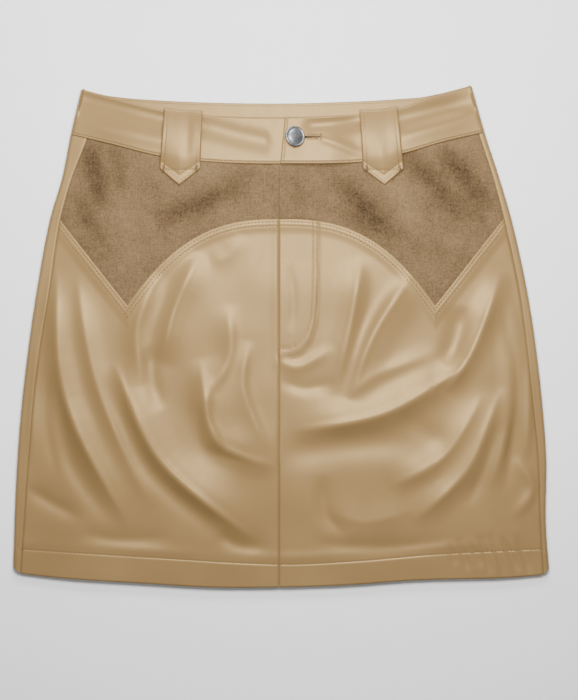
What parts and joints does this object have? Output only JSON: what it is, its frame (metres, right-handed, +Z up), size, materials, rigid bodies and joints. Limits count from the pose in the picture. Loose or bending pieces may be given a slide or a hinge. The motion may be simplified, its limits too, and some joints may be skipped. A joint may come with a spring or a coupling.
{
  "type": "leather mini skirt",
  "caption": "Flat-laid mini skirt in satin coated leather with suede western hip yokes, a lapped waistband, wide pointed belt loops and a jeans button.",
  "frame": {"origin": "on the surface the skirt rests on, under the middle of its outline", "axes": "+X across to the viewer's right, +Y towards the waist, +Z up out of the front"},
  "size_m": [0.4384, 0.4108, 0.0177],
  "materials": {
    "leather": "beige coated leather, satin, with soft wide highlights",
    "suede": "darker beige suede cloth with a short matt nap",
    "metal": "antique silver, brushed and satin"
  },
  "bodies": {
    "root": {"back": "leather", "front_left": "leather", "front_right": "leather", "yoke_left": "suede", "yoke_right": "suede", "waistband": "leather", "belt_loop_left": "leather", "belt_loop_right": "leather", "button": "metal"}
  },
  "joints": []
}
